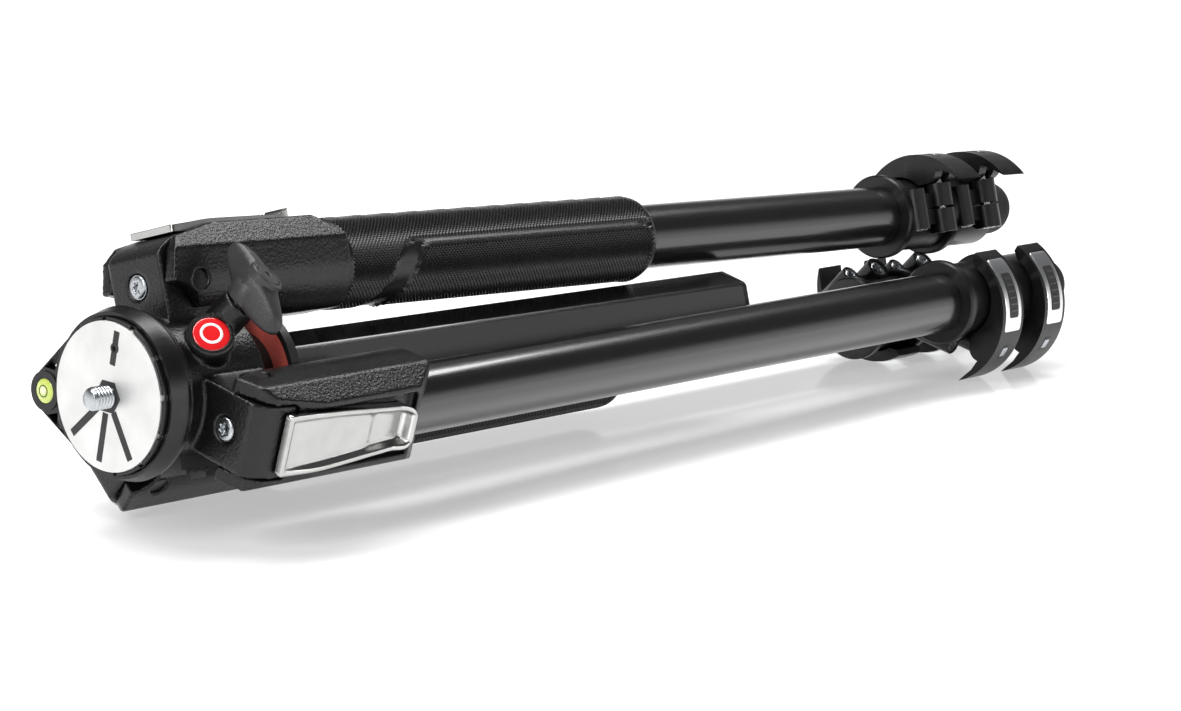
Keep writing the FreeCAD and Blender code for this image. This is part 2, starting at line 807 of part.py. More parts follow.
FRICTION_X = 8.0
CLAMP_X = 28.0
BOLT_RAD = 2.2
BARREL_RAD = 3.4
BARREL_LIFT = 7.0


def lock_bolts(name, label, start, place):
    """Friction bolt and clamp bolt of one lock; the clamp bolt ends in the lever's barrel."""
    side = BOLT_SIDE
    lug = size("lug_half")
    shank = rod(BOLT_RAD, lug * 2 - 8, (start + FRICTION_X, -side, -lug + 4), UPRIGHT)
    low = rod(3.8, 2, (start + FRICTION_X, -side, -lug + 2), UPRIGHT)
    high = rod(3.8, 1.7, (start + FRICTION_X, -side, lug - 4), UPRIGHT)
    friction = fuse(shank, low, high)
    long_shank = rod(BOLT_RAD, lug * 2 + BARREL_LIFT - 2, (start + CLAMP_X, -side, -lug + 2), UPRIGHT)
    head = rod(4.5, 1.9, (start + CLAMP_X, -side, -lug + 0.6), UPRIGHT)
    wide = size("lever_width") - 4
    barrel = rod(BARREL_RAD, wide, (start + CLAMP_X - wide / 2, -side, lug + BARREL_LIFT))
    clamp = fuse(long_shank, head, barrel)
    return node(group(friction, clamp), name + label, place)


def lever_outline():
    """Crescent seen along the tube: blunt tail, arched back, hooked nose past the barrel."""
    back = 35.2
    body = COLLAR
    hug = body + 0.9
    lug = size("lug_half")
    face = lug + FREE
    side = BOLT_SIDE
    cam = BARREL_LIFT - FREE
    return [(body + 7.5, 2.0, back), (-side + 9.96, body + 10.7, back), (-side - 20, lug - 0.4),
            (-side - 12, lug + 5), (-side - cam, lug + BARREL_LIFT, cam), (-side, face),
            (-body + 3.7, face, -hug), (body - 8, body - 1.5, -hug), (body + 0.7, 4.0), (body + 4.5, 1.0)]


def lock_lever(name, label, start, place):
    """Cam lever of one lock, bored for the barrel and slotted for the bolt."""
    side = BOLT_SIDE
    lug = size("lug_half")
    wide = size("lever_width")
    body = padded("YZ_Plane", lever_outline(), wide)
    body.Placement = at(start + CLAMP_X)
    bore = rod(BARREL_RAD + GAP, wide - 3.8, (start + CLAMP_X - (wide - 3.8) / 2, -side, lug + BARREL_LIFT))
    axis = lug + BARREL_LIFT
    slot = padded("YZ_Plane", [(-side - 0.5, axis + 3.0), (-side + 3.2, axis), (-side + 3.2, -5),
                               (-side - 32, -5), (-side - 6.2, axis + 1.6)], 6.4)
    slot.Placement = at(start + CLAMP_X)
    return node(cut(body, bore, slot), name + label, place)


def bush(name, place):
    """Plastic bush on the head end of the middle tube, sliding in the upper tube."""
    start = size("tube_start") + 37
    rad = UPPER - size("tube_wall") - GAP
    inner = MIDDLE
    end = start + 30
    lip = start + 2
    body = turned([(start, inner - 3), (start, rad), (end, rad), (end, inner), (lip, inner),
                   (lip, inner - 3)])
    return node(body, name + "_tube_bush", place)


def lower_tube(name, place):
    """Lower tube, swaged out at its head end to slide in the middle tube."""
    wall = size("tube_wall")
    rad = LOWER
    start = size("tube_start") + 52
    guide = MIDDLE - wall - GAP
    end = SECOND_LOCK + size("collar_len") + 12
    neck = start + 26
    body = turned([(start, rad - wall), (end, rad - wall), (end, rad), (neck + 2, rad), (neck, guide),
                   (start, guide)])
    return node(body, name + "_lower_tube", place)


def foot(name, place):
    """Rubber foot over the end of the lower tube."""
    start = SECOND_LOCK + size("collar_len") + 0.5
    tube_end = start + 11.5
    end = start + size("foot_len")
    rad = FOOT
    bore = LOWER
    body = turned([(start, bore), (start, rad - 1.5), (start + 3, rad), (end - 9, rad - 0.4, -9.6),
                   (end, 4), (end, 0), (tube_end, 0), (tube_end, bore)])
    return node(body, name + "_foot", place)


def leg(number):
    """All the pieces of one leg."""
    name = LEGS[number]
    place = leg_place(number)
    wall = size("tube_wall")
    lock = size("lock_start")
    second = SECOND_LOCK
    yoke(name, place)
    angle_lever(name, place)
    node(pipe(UPPER, wall, size("tube_start"), lock + 12), name + "_upper_tube", place)
    if name != "front":
        grip(name, place)
    collar(name, "_upper_collar", lock, UPPER, MIDDLE, place)
    lock_bolts(name, "_upper_bolts", lock, place)
    lock_lever(name, "_upper_lever", lock, place)
    node(pipe(MIDDLE, wall, size("tube_start") + 39, second + 12), name + "_middle_tube", place)
    bush(name, place)
    collar(name, "_lower_collar", second, MIDDLE, LOWER, place)
    lock_bolts(name, "_lower_bolts", second, place)
    lock_lever(name, "_lower_lever", second, place)
    lower_tube(name, place)
    foot(name, place)


# ---------------------------------------------------------------- the whole tripod

def build():
    """Make every sub-part."""
    turn = spoke(0)
    node(head_plate(), "head_plate")
    node(set_screw(), "plate_set_screw")
    node(stud(), "head_stud")
    node(plate_seat(), "plate_seat", turn)
    node(column_tube(), "column_tube", turn)
    node(column_plug(), "column_plug", turn)
    node(column_button(), "column_button")
    node(level_ring(), "level_ring", level_place())
    node(level_vial(), "level_vial", level_place() * at(0, 0, size("vial_reach")))
    node(crown_casting(), "crown_casting")
    node(column_sleeve(), "column_sleeve")
    node(stop_flange(), "stop_flange")
    node(shoulder_bolts(), "shoulder_bolts")
    node(hinge_pins(), "hinge_pins")
    node(socket_cap(), "socket_cap")
    node(accessory_clip(), "accessory_clip", about_x(CLIP_SPOKE))
    node(lock_knob(), "lock_knob", knob_frame())
    node(knob_stud(), "knob_stud")
    for number in range(3):
        leg(number)
    doc.recompute()


def check():
    """Stop before writing anything if a feature or a sub-part is bad."""
    for thing in doc.Objects:
        if "Invalid" in thing.State or "Error" in thing.State:
            raise ValueError("failed feature: " + thing.Name + " in " + thing.Label)
    for thing in NODES:
        shape = thing.Shape
        if shape.isNull() or not shape.isValid() or not shape.Solids:
            raise ValueError("bad sub-part: " + thing.Label)
        if len(shape.Solids) > 1 and not thing.isDerivedFrom("Part::Compound"):
            raise ValueError("sub-part in %d pieces: %s" % (len(shape.Solids), thing.Label))


def write():
    """Write one STEP file for each sub-part."""
    os.makedirs("parts", exist_ok=True)
    for thing in NODES:
        thing.Shape.exportStep(os.path.join("parts", thing.Label + ".step"))
        print(thing.Label, len(thing.Shape.Solids), round(thing.Shape.Volume / 1000, 2), "cm3")
    print(len(NODES), "sub-parts")


build()
check()
write()
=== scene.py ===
import json
import math

import bmesh
import bpy
from mathutils import Matrix, Vector


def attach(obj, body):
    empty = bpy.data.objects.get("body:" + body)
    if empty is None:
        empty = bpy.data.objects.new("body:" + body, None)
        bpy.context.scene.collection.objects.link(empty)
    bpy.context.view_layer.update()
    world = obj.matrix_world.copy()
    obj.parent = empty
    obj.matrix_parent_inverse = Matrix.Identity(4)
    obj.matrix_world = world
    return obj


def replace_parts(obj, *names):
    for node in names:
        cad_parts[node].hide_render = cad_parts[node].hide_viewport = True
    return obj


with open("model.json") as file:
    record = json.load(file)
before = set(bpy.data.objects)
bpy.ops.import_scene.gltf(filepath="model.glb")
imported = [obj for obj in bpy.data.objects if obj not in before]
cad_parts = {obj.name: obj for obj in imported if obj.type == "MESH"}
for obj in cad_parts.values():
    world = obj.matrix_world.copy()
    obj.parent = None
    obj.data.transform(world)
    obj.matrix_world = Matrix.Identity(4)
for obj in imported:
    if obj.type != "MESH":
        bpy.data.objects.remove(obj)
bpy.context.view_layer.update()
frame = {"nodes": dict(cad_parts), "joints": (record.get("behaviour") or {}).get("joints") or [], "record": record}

MM = 0.001
LEGS = ("top", "front", "back")

# %% [markdown]
# ## Where a leg lies
# Every leg carries the same pieces, so each is drawn once in the leg's own frame: X runs
# down the tube, Z points away from the column. The joints of the model say how that frame
# sits: the middle section slides along X, and the hinge pin gives the second axis.
# %% Leg frames from the joints
JOINTS = {joint["name"]: joint for joint in frame["joints"]}
TRUNNION_X = 38.0 * MM
TRUNNION_Z = 18.2 * MM


def leg_matrix(leg):
    """From the leg's own frame to the row frame, at rest."""
    along = Vector(JOINTS[leg + "_middle_slide"]["axis"]).normalized()
    side = -Vector(JOINTS[leg + "_leg_fold"]["axis"]).normalized()
    out = along.cross(side).normalized()
    spot = Vector(JOINTS[leg + "_angle_set"]["pos_m"])
    origin = spot - along * TRUNNION_X - out * TRUNNION_Z
    turn = Matrix((along, side, out)).transposed().to_4x4()
    return Matrix.Translation(origin) @ turn


LEG = {leg: leg_matrix(leg) for leg in LEGS}
print("top leg origin", [round(c, 4) for c in LEG["top"].translation])

# %% [markdown]
# ## Camera
# The view is a long lens from the near left and a little above, rolled by four degrees,
# which makes the tripod seem to rise towards its feet.
# %% Place the camera
YAW = 0.871
PITCH = 0.196
ROLL = 0.069
CAMERA_SPOT = Vector((-1.010584, -1.096077, 0.323374))
LENS = 117.73


def place_camera():
    """Aim by yaw and pitch, then roll about the line of sight."""
    look = Vector((math.sin(YAW) * math.cos(PITCH), math.cos(YAW) * math.cos(PITCH), -math.sin(PITCH)))
    right = Vector((math.cos(YAW), -math.sin(YAW), 0))
    over = right.cross(look)
    right_rolled = right * math.cos(ROLL) + over * math.sin(ROLL)
    over_rolled = over * math.cos(ROLL) - right * math.sin(ROLL)
    data = bpy.data.cameras.new("camera")
    data.lens = LENS
    data.sensor_width = 36
    data.clip_end = 50
    camera = bpy.data.objects.new("camera", data)
    turn = Matrix((right_rolled, over_rolled, -look)).transposed().to_4x4()
    camera.matrix_world = Matrix.Translation(CAMERA_SPOT) @ turn
    bpy.context.collection.objects.link(camera)
    bpy.context.scene.camera = camera
    return camera


place_camera()

# %% [markdown]
# ## Node helpers
# Each finish is a small network of shader nodes. These helpers add one node, link two
# sockets, and blend two colours, so that a finish reads as a few lines.
# %% Material helpers


def new_material(name):
    """An empty node material with its shader."""
    mat = bpy.data.materials.new(name)
    mat.use_nodes = True
    shader = mat.node_tree.nodes["Principled BSDF"]
    return mat, mat.node_tree, shader


def add(tree, kind, **values):
    """Add a node; names in capitals or with spaces set its sockets."""
    made = tree.nodes.new(kind)
    for key, value in values.items():
        if hasattr(made, key):
            setattr(made, key, value)
        else:
            made.inputs[key.replace("_", " ")].default_value = value
    return made


def coords(tree, scale=(1, 1, 1)):
    """Object coordinates, stretched by scale."""
    where = tree.nodes.new("ShaderNodeTexCoord")
    mapping = tree.nodes.new("ShaderNodeMapping")
    mapping.inputs["Scale"].default_value = scale
    tree.links.new(where.outputs["Object"], mapping.inputs["Vector"])
    return mapping.outputs["Vector"]


def noise(tree, vector, scale, detail=3.0, rough=0.5):
    """A noise texture's value."""
    made = add(tree, "ShaderNodeTexNoise", Scale=scale, Detail=detail, Roughness=rough)
    tree.links.new(vector, made.inputs["Vector"])
    return made.outputs["Fac"]


def ramp(tree, value, stops):
    """A colour ramp over a value; stops are (place, colour)."""
    made = tree.nodes.new("ShaderNodeValToRGB")
    bands = made.color_ramp.elements
    while len(bands) < len(stops):
        bands.new(0.5)
    for band, (place, colour) in zip(bands, stops):
        band.position = place
        band.color = colour if len(colour) == 4 else (*colour, 1)
    tree.links.new(value, made.inputs["Fac"])
    return made.outputs["Color"]


def span(tree, value, low, high):
    """Map 0..1 to low..high."""
    made = add(tree, "ShaderNodeMapRange")
    made.inputs["To Min"].default_value = low
    made.inputs["To Max"].default_value = high
    tree.links.new(value, made.inputs["Value"])
    return made.outputs["Result"]


def bump(tree, shader, height, strength, distance):
    """Raise the surface by a height value."""
    made = add(tree, "ShaderNodeBump", Strength=strength, Distance=distance)
    tree.links.new(height, made.inputs["Height"])
    tree.links.new(made.outputs["Normal"], shader.inputs["Normal"])


def grey(level):
    """A neutral colour, a hair cool."""
    return (level, level, level * 1.03)


def paint_edge_highlight(tree, shader, base, edge, amount=0.12):
    """Base colour that pales a little on sharp edges, from the surface's pointiness: a painted edge highlight."""
    geometry = tree.nodes.new("ShaderNodeNewGeometry")
    edge_highlight_mask = ramp(tree, geometry.outputs["Pointiness"], ((0.52, (0, 0, 0)), (0.62, (amount,) * 3)))
    mix = tree.nodes.new("ShaderNodeMix")
    mix.data_type = "RGBA"
    tree.links.new(edge_highlight_mask, mix.inputs[0])
    mix.inputs[7].default_value = (*edge, 1)
    if isinstance(base, tuple):
        mix.inputs[6].default_value = (*base, 1)
    else:
        tree.links.new(base, mix.inputs[6])
    tree.links.new(mix.outputs[2], shader.inputs["Base Color"])


# %% [markdown]
# ## Black paint and plastic
# The castings wear a textured powder paint: satin, with a pebbled surface of about a
# millimetre. Moulded locks are the same black with half that grain. Both only show their
# shape through soft highlights, so roughness varies slightly and the shine is kept low.
# Sharp edges are painted a little paler, as a painted highlight.
# %% Textured blacks


def textured_black(name, level, rough, grain, depth, edge=0.09):
    """Matt to satin black with a pebbled grain; grain is pebbles per metre; edge is the grey of the painted
    highlight on sharp edges.
    """
    mat, tree, shader = new_material(name)
    where = coords(tree)
    cloud = noise(tree, where, 60, 2)
    base = ramp(tree, cloud, ((0.3, grey(level * 0.8)), (0.7, grey(level * 1.25))))
    # Sharp edges pale towards grey(edge): a painted highlight.
    paint_edge_highlight(tree, shader, base, grey(edge))
    satin = span(tree, noise(tree, where, 180, 4), rough - 0.07, rough + 0.08)
    tree.links.new(satin, shader.inputs["Roughness"])
    bump(tree, shader, noise(tree, where, grain, 2, 0.6), 0.55, depth)
    shader.inputs["Specular IOR Level"].default_value = 0.36
    return mat


BLACK_CAST = textured_black("black_cast_paint", 0.004, 0.30, 800, 0.0005)
BLACK_PLASTIC = textured_black("black_moulded", 0.004, 0.30, 1600, 0.00015)
GREY_PLASTIC = textured_black("grey_moulded", 0.026, 0.36, 1200, 0.00025, 0.1)
FOOT_RUBBER = textured_black("foot_rubber", 0.014, 0.72, 1800, 0.0002, 0.04)
GRIP_RUBBER = textured_black("grip_rubber", 0.007, 0.30, 3200, 0.00004, 0.05)

# %% [markdown]
# ## Anodised tube
# Black anodising over drawn aluminium has long highlights and faint drawing lines. Noise
# stretched about eighty times along the tube makes those lines, and a thin clear coat
# sharpens the reflections.
# %% Tubes


def anodised():
    """Deep black metal with drawing lines along X."""
    mat, tree, shader = new_material("black_anodised")
    where = coords(tree, (0.012, 1, 1))
    lines = noise(tree, where, 2200, 3, 0.6)
    base = ramp(tree, lines, ((0.3, (0.003, 0.003, 0.003)), (0.75, (0.006, 0.006, 0.0065))))
    tree.links.new(base, shader.inputs["Base Color"])
    shader.inputs["Metallic"].default_value = 0.0
    shader.inputs["Specular IOR Level"].default_value = 0.8
    tree.links.new(span(tree, lines, 0.20, 0.28), shader.inputs["Roughness"])
    shader.inputs["Coat Weight"].default_value = 0.35
    shader.inputs["Coat Roughness"].default_value = 0.06
    bump(tree, shader, lines, 0.05, 0.00002)
    return mat


ANODISED = anodised()

# %% [markdown]
# ## Bright metals
# Four bright finishes: polished die casting on the angle levers, zinc-plated screws, the
# satin badges of the lock levers, and the head plate, which is faced on a lathe so that
# its fine rings run round the stud.
# %% Metals


def metal(name, colour, rough, wobble=0.05, grain=900, depth=0.00004):
    """A metal with cloudy roughness and light handling marks."""
    mat, tree, shader = new_material(name)
    where = coords(tree)
    base = ramp(tree, noise(tree, where, 120, 3), ((0.3, tuple(c * 0.9 for c in colour)), (0.7, colour)))
    tree.links.new(base, shader.inputs["Base Color"])
    shader.inputs["Metallic"].default_value = 1.0
    satin = span(tree, noise(tree, where, 350, 4), rough, rough + wobble)
    tree.links.new(satin, shader.inputs["Roughness"])
    bump(tree, shader, noise(tree, where, grain, 2), 0.15, depth)
    return mat


POLISHED = metal("polished_casting", (0.46, 0.46, 0.45), 0.15, 0.10)
ZINC = metal("zinc_plate", (0.44, 0.46, 0.48), 0.20, 0.12)
BADGE_SILVER = metal("satin_silver", (0.82, 0.83, 0.84), 0.26, 0.08)


def faced_plate():
    """Turned facing: rings round the stud, scratched a little by camera heads."""
    mat, tree, shader = new_material("faced_aluminium")
    where = tree.nodes.new("ShaderNodeTexCoord")
    parts = tree.nodes.new("ShaderNodeSeparateXYZ")
    tree.links.new(where.outputs["Object"], parts.inputs["Vector"])
    flat = tree.nodes.new("ShaderNodeCombineXYZ")
    tree.links.new(parts.outputs["Y"], flat.inputs["X"])
    tree.links.new(parts.outputs["Z"], flat.inputs["Y"])
    length = add(tree, "ShaderNodeVectorMath", operation="LENGTH")
    tree.links.new(flat.outputs["Vector"], length.inputs[0])
    ring = tree.nodes.new("ShaderNodeCombineXYZ")
    tree.links.new(length.outputs["Value"], ring.inputs["X"])
    lines = noise(tree, ring.outputs["Vector"], 3200, 2)
    cloud = noise(tree, where.outputs["Object"], 70, 4)
    shade = ramp(tree, cloud, ((0.25, (0.60, 0.60, 0.59)), (0.75, (0.74, 0.74, 0.73))))
    tree.links.new(shade, shader.inputs["Base Color"])
    shader.inputs["Metallic"].default_value = 0.85
    tree.links.new(span(tree, cloud, 0.34, 0.48), shader.inputs["Roughness"])
    bump(tree, shader, lines, 0.25, 0.00003)
    return mat


PLATE = faced_plate()

# %% [markdown]
# ## Colours
# The red cap, the red release button and the red-faced flange under the crown are the
# coloured pieces. The level's liquid is a yellow-green that scatters some light inside it.
# The cap's ring, the bubble and the dark inlays complete the set; the same dark is also the painted shade in the
# lock levers' windows.
# %% Reds and the level's liquid


def coloured(name, colour, rough, coat=0.0):
    """Moulded colour with slight cloudiness."""
    mat, tree, shader = new_material(name)
    where = coords(tree)
    base = ramp(tree, noise(tree, where, 90, 2), ((0.3, tuple(c * 0.85 for c in colour)), (0.7, colour)))
    tree.links.new(base, shader.inputs["Base Color"])
    satin = span(tree, noise(tree, where, 300, 3), rough, rough + 0.08)
    tree.links.new(satin, shader.inputs["Roughness"])
    shader.inputs["Coat Weight"].default_value = coat
    bump(tree, shader, noise(tree, where, 1500, 2), 0.1, 0.00004)
    return mat


RED_GLOSS = coloured("red_enamel", (0.72, 0.012, 0.016), 0.16, 0.6)


FLANGE_RAD = 0.030
RED_SHARE = 0.91


def rimmed_red():
    """Satin red inside a black rim: the colour changes with the distance from the column."""
    mat, tree, shader = new_material("red_face_black_rim")
    where = tree.nodes.new("ShaderNodeTexCoord")
    level = tree.nodes.new("ShaderNodeVectorMath")
    level.operation = "MULTIPLY"
    level.inputs[1].default_value = (0, 1, 1)
    tree.links.new(where.outputs["Object"], level.inputs[0])
    length = add(tree, "ShaderNodeVectorMath", operation="LENGTH")
    tree.links.new(level.outputs["Vector"], length.inputs[0])
    share = add(tree, "ShaderNodeMath", operation="DIVIDE")
    share.inputs[1].default_value = FLANGE_RAD
    tree.links.new(length.outputs["Value"], share.inputs[0])
    red, black = (0.70, 0.13, 0.10), (0.01, 0.01, 0.01)
    base = ramp(tree, share.outputs["Value"], ((RED_SHARE, red), (RED_SHARE + 0.015, black)))
    tree.links.new(base, shader.inputs["Base Color"])
    satin = span(tree, noise(tree, where.outputs["Object"], 400, 3), 0.36, 0.48)
    tree.links.new(satin, shader.inputs["Roughness"])
    bump(tree, shader, noise(tree, where.outputs["Object"], 1800, 2), 0.15, 0.00006)
    return mat


RED_SATIN = rimmed_red()
EMBLEM_WHITE = coloured("white_enamel", (0.85, 0.85, 0.84), 0.25, 0.4)
# One dark for inlays and print, and also painted shade in the lock levers' windows.
DARK_INLAY_AND_SHADE = textured_black("dark_inlay_and_painted_shade", 0.02, 0.5, 1800, 0.0001, 0.03)


def liquid():
    """Tinted spirit seen through its dome."""
    mat, tree, shader = new_material("level_spirit")
    where = coords(tree)
    base = ramp(tree, noise(tree, where, 200, 1), ((0.2, (0.40, 0.49, 0.06)), (0.8, (0.55, 0.63, 0.13))))
    tree.links.new(base, shader.inputs["Base Color"])
    shader.inputs["Roughness"].default_value = 0.08
    shader.inputs["Coat Weight"].default_value = 1.0
    shader.inputs["Coat Roughness"].default_value = 0.02
    shader.inputs["Subsurface Weight"].default_value = 0.3
    shader.inputs["Subsurface Scale"].default_value = 0.002
    return mat


SPIRIT = liquid()
BUBBLE = coloured("bubble", (0.80, 0.86, 0.48), 0.06, 1.0)

# %% [markdown]
# ## Finish every engineering piece
# Pieces whose shape is already right keep it and get a finish. Cast and moulded pieces
# never have knife edges, so each gets a small bevel: a weld joins the split corners, the
# bevel rounds only edges sharper than thirty degrees, and weighted normals keep flats flat.
# %% Rounded edges and finishes


def finish_of(name):
    """The finish that a node wears."""
    if name.endswith("_angle_lever"):
        return POLISHED
    if name == "head_plate":
        return PLATE
    if name in ("hinge_pins", "plate_set_screw"):
        return BLACK_PLASTIC
    if name.endswith("_bolts") or name in ("head_stud", "knob_stud"):
        return ZINC
    if name.endswith("_tube") or name == "column_tube":
        return ANODISED
    if name.endswith("_grip"):
        return GRIP_RUBBER
    if name.endswith("_foot"):
        return FOOT_RUBBER
    if name == "column_button":
        return RED_GLOSS
    if name == "stop_flange":
        return RED_SATIN
    if name in ("lock_knob", "accessory_clip"):
        return GREY_PLASTIC
    if name == "socket_cap":
        return RED_GLOSS
    if name == "level_vial":
        return SPIRIT
    if name == "crown_casting" or name.endswith("_yoke"):
        return BLACK_CAST
    return BLACK_PLASTIC


EDGE = {"head_plate": 0.25, "plate_seat": 0.15, "level_ring": 0.4, "stop_flange": 0.25,
        "shoulder_bolts": 0.2, "column_plug": 0.25}
BEVEL_ANGLE = 32


def edge_width(name):
    """How round a node's edges are, in millimetres."""
    endings = (("_collar", 0.5), ("_lever", 0.7), ("_bolts", 0.25), ("_foot", 0.4))
    for ending, width in endings:
        if name.endswith(ending):
            return width
    return EDGE.get(name, 0.0)


def soften(thing, width):
    """Round a node's edges without touching its mesh data."""
    weld = thing.modifiers.new("weld", "WELD")
    weld.merge_threshold = 0.00001
    bevel = thing.modifiers.new("round_edges", "BEVEL")
    bevel.width = width * MM
    bevel.segments = 3
    bevel.limit_method = "ANGLE"
    bevel.angle_limit = math.radians(BEVEL_ANGLE)
    bevel.harden_normals = False
    bevel.use_clamp_overlap = True
    normals = thing.modifiers.new("normals", "WEIGHTED_NORMAL")
    normals.keep_sharp = False


def dress(thing, mat):
    """Give a node one finish."""
    thing.data.materials.clear()
    thing.data.materials.append(mat)


for name, thing in frame["nodes"].items():
    dress(thing, finish_of(name))
    if edge_width(name):
        soften(thing, edge_width(name))
print("finished", len(frame["nodes"]), "nodes")

# %% [markdown]
# ## Drawing meshes
# The finer pieces are drawn as sheets of points in rows and columns. A sheet that closes on
# itself makes a turned piece; a sheet with a flat underside makes a plate. One helper turns
# points and faces into an object, joins it to its moving body and names its finish.
# %% Mesh helpers
BODY_OF = {node: body for body, nodes in frame["record"]["behaviour"]["bodies"].items() for node in nodes}


def piece(name, points, faces, mat, body, place=None):
    """A smooth mesh object in metres, from points in millimetres in the frame that place gives."""
    mesh = bpy.data.meshes.new(name)
    mesh.from_pydata([Vector(p) * MM for p in points], [], faces)
    if place is not None:
        mesh.transform(place)
    tool = bmesh.new()
    tool.from_mesh(mesh)
    bmesh.ops.remove_doubles(tool, verts=tool.verts, dist=0.000002)
    bmesh.ops.recalc_face_normals(tool, faces=tool.faces)
    tool.to_mesh(mesh)
    tool.free()
    for face in mesh.polygons:
        face.use_smooth = True
    mesh.materials.append(mat)
    thing = bpy.data.objects.new(name, mesh)
    bpy.context.collection.objects.link(thing)
    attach(thing, body)
    return thing


def sheet_faces(rows, columns, closed=False, first=0):
    """Quads between neighbouring rows; closed joins the last column to the first."""
    faces = []
    for row in range(rows - 1):
        for column in range(columns if closed else columns - 1):
            beside = (column + 1) % columns
            a = first + row * columns
            faces.append((a + column, a + beside, a + columns + beside, a + columns + column))
    return faces


def lathe(outline, turns=48):
    """Turn an outline of (height, radius) about Z; a radius of 0 closes an end."""
    points = []
    for height, radius in outline:
        for step in range(turns):
            angle = 2 * math.pi * step / turns
            points.append((radius * math.cos(angle), radius * math.sin(angle), height))
    return points, sheet_faces(len(outline), turns, closed=True)


def crisp(thing, degrees=35):
    """Keep creases sharper than this angle; smooth the rest."""
    thing.data.set_sharp_from_angle(angle=math.radians(degrees))
    return thing


def blend_in(value, low, high):
    """0 below low, 1 above high, with an S between."""
    share = min(max((value - low) / (high - low), 0.0), 1.0)
    return share * share * (3 - 2 * share)


def relief(stations, half, top, low, insets, place_point):
    """A closed plate whose top follows a height map; rows run along it, columns across."""
    rows = []
    for along in stations:
        wide = half(along)
        across = [-(wide - min(i, wide)) for i in insets]
        across += [-v for v in reversed(across)]
        rows.append([(along, v) for v in across])
    columns = len(rows[0])
    points = []
    for row in rows:
        points += [place_point(u, v, top(u, v)) for u, v in row]
    for row in rows:
        points += [place_point(u, v, low) for u, v in row]
    count = len(rows) * columns
    faces = sheet_faces(len(rows), columns)
    faces += [tuple(reversed(f)) for f in sheet_faces(len(rows), columns, first=count)]
    rim = [c for c in range(columns)]
    rim += [r * columns + columns - 1 for r in range(1, len(rows))]
    rim += [(len(rows) - 1) * columns + c for c in range(columns - 2, -1, -1)]
    rim += [r * columns for r in range(len(rows) - 2, 0, -1)]
    for one, two in zip(rim, rim[1:] + rim[:1]):
        faces.append((one, one + count, two + count, two))
    return points, faces


def rounded_half(wide, corner, length):
    """The half width of a rounded rectangle, as a function of the place along it."""
    def half(along):
        near = min(along, length - along)
        if near >= corner:
            return wide
        return wide - corner + math.sqrt(max(corner ** 2 - (corner - max(near, 0)) ** 2, 0))
    return half


def spread(length, insets, middle):
    """Stations close together near both ends and even between."""
    ends = [i for i in insets if i < length / 2]
    near, far = ends[-1], length - ends[-1]
    between = [near + (far - near) * step / middle for step in range(1, middle)]
    return ends + between + [length - i for i in reversed(ends)]


# %% [markdown]
# ## Castings
# The crown and the three yokes are die castings: every edge and inside corner is a soft
# fillet. A remesh of the engineering shape at under a millimetre, relaxed a few times, gives
# those fillets everywhere at once, which a bevel can't do on inside corners.
# %% Soft castings


def cast_copy(name, voxel, rounds, mat):
    """A relaxed remesh of one engineering piece, which it stands for."""
    source = frame["nodes"][name]
    thing = bpy.data.objects.new(name + "_cast", source.data.copy())
    bpy.context.collection.objects.link(thing)
    weld = thing.modifiers.new("weld", "WELD")
    weld.merge_threshold = 0.00001
    fine = thing.modifiers.new("fine", "REMESH")
    fine.mode = "VOXEL"
    fine.voxel_size = voxel * MM
    fine.use_smooth_shade = True
    relax = thing.modifiers.new("relax", "SMOOTH")
    relax.factor = 0.5
    relax.iterations = rounds
    shape = thing.evaluated_get(bpy.context.evaluated_depsgraph_get())
    mesh = bpy.data.meshes.new_from_object(shape)
    thing.modifiers.clear()
    thing.data = mesh
    mesh.name = name + "_cast"
    mesh.materials.clear()
    mesh.materials.append(mat)
    for face in mesh.polygons:
        face.use_smooth = True
    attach(thing, BODY_OF[name])
    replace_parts(thing, name)
    return thing


CAST_VOXEL = 0.75
CAST_ROUNDS = 5
for casting in ["crown_casting"] + [leg + "_yoke" for leg in LEGS]:
    made = cast_copy(casting, CAST_VOXEL, CAST_ROUNDS, BLACK_CAST)
    print(made.name, len(made.data.polygons), "faces")

# %% [markdown]
# ## Rubber grips
# Two legs wear a moulded grip. Its skin is a diamond knurl of about two millimetres, made
# here as real height: neighbouring points of a fine sheet go up and down in turn, and each
# square folds along the line between its raised corners, with sharp shading at the folds.
# Smooth shading alone would average a knurl like this away. A smooth
# band sweeps up from below near the head, then runs back along each side as a raised line.
# %% Grip skin
GRIP_START = 126.5
GRIP_END = 326.0
GRIP_RAD = 19.0
GRIP_BORE = 14.75
KNURL = 0.27
KNURL_STEP = 1.0
KNURL_FOLD = 16


def soft_max(one, two, corner):
    """The larger of two, with a rounded corner where they cross."""
    gap = max(corner - abs(one - two), 0.0) / corner
    return max(one, two) + gap * gap * corner / 4


def panel_edge(x, rise, left, top, right, corner):
    """Signed distance to a panel that leans at its head end; negative inside."""
    lean = 0.42
    near = left + lean * (rise - top) - x
    return soft_max(soft_max(near * 0.92, rise - top, corner), x - right, corner)


def grip_height(x, rise, up):
    """Height of the skin over its base; up is +1 or -1, point by point, for the knurl."""
    outer = panel_edge(x, rise, 159, 6.2, 323.0, 10)
    inner = panel_edge(x, rise, 171, 3.2, 320.0, 6)
    plain_end = 1 - blend_in(x, GRIP_START + 2, GRIP_START + 3) + blend_in(x, GRIP_END - 5, GRIP_END - 3)
    band = (1 - blend_in(outer, -0.5, 0.2)) * blend_in(inner, -0.2, 0.5)
    knurl = KNURL * up * (1 - max(band, plain_end))
    ridge = 0.85 * math.exp(-(inner / 0.8) ** 2) - 0.5 * math.exp(-((outer + 0.4) / 0.8) ** 2)
    comb = 0.35 * ((x / 17) % 1) * blend_in(rise, 23, 26) * (1 - plain_end)
    return knurl - 0.25 * band + ridge * (1 - plain_end) + comb


